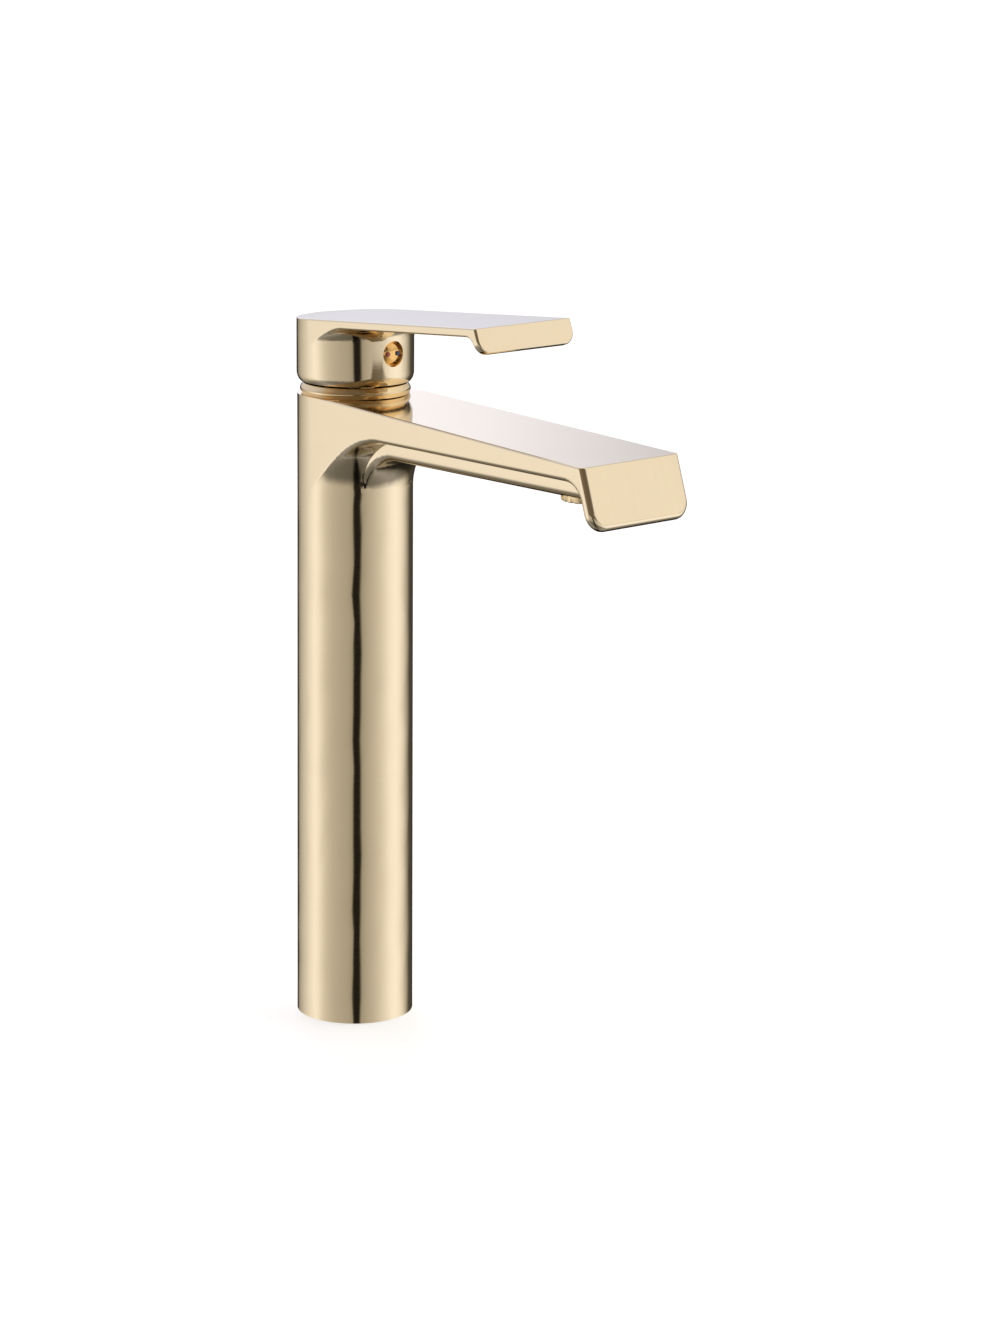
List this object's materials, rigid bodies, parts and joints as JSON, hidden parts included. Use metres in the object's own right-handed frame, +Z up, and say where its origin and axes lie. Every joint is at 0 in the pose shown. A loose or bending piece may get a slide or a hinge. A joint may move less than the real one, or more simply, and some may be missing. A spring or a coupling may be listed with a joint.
{
  "type": "basin_mixer_tap",
  "caption": "A tall single-lever basin mixer in brushed gold, with an arched spout, a leaning spout lip and a flat lever on top.",
  "frame": {"origin": "centre of the column's foot, on the deck", "axes": "+Z up the column, -Y along the spout towards the basin, +X to the cold side"},
  "size_m": [0.0534, 0.1967, 0.3098],
  "materials": {
    "gold_body": "finely brushed gold plating",
    "gold_bright": "polished gold plating",
    "brass": "machined brass",
    "steel": "turned stainless steel",
    "rubber": "moulded rubber",
    "ceramic": "lapped ceramic",
    "white_plastic": "moulded acetal",
    "black_plastic": "moulded plastic",
    "red_plastic": "moulded plastic",
    "red_mark": "filled enamel",
    "blue_mark": "filled enamel"
  },
  "bodies": {
    "body": {"body_casting": "gold_body", "foot_insert": "brass", "foot_gasket": "rubber", "trim_ring": "gold_bright", "cartridge_nut": "brass", "cartridge_housing": "white_plastic", "cartridge_base": "black_plastic", "port_seals": "rubber", "fixed_disc": "ceramic", "temperature_limiter": "red_plastic", "aerator_housing": "gold_bright", "aerator_gasket": "rubber", "outlet_screen": "white_plastic", "diffuser": "white_plastic", "flow_regulator": "black_plastic", "regulator_ring": "rubber"},
    "turret": {"turret": "black_plastic", "turret_seal": "rubber", "pivot_pin": "steel"},
    "lever": {"handle": "gold_body", "spindle": "brass", "grub_screw": "steel", "index_button": "gold_bright", "hot_mark": "red_mark", "cold_mark": "blue_mark"},
    "disc": {"moving_disc": "ceramic", "disc_carrier": "white_plastic"}
  },
  "joints": [
    {"name": "turret_turn", "type": "hinge", "parent": "body", "child": "turret", "pos_m": [0, 0, 0.254], "axis": [0, 0, 1], "range_deg": [-45, 45]},
    {"name": "lever_lift", "type": "hinge", "parent": "turret", "child": "lever", "pos_m": [0, 0, 0.254], "axis": [-1, 0, 0], "range_deg": [0, 25]},
    {"name": "disc_slide", "type": "slide", "parent": "turret", "child": "disc", "axis": [0, -1, 0], "range_m": [0, 0.00393]}
  ],
  "couplings": [
    {"joint": "disc_slide", "follows": "lever_lift", "m_per_rad": 0.009}
  ]
}
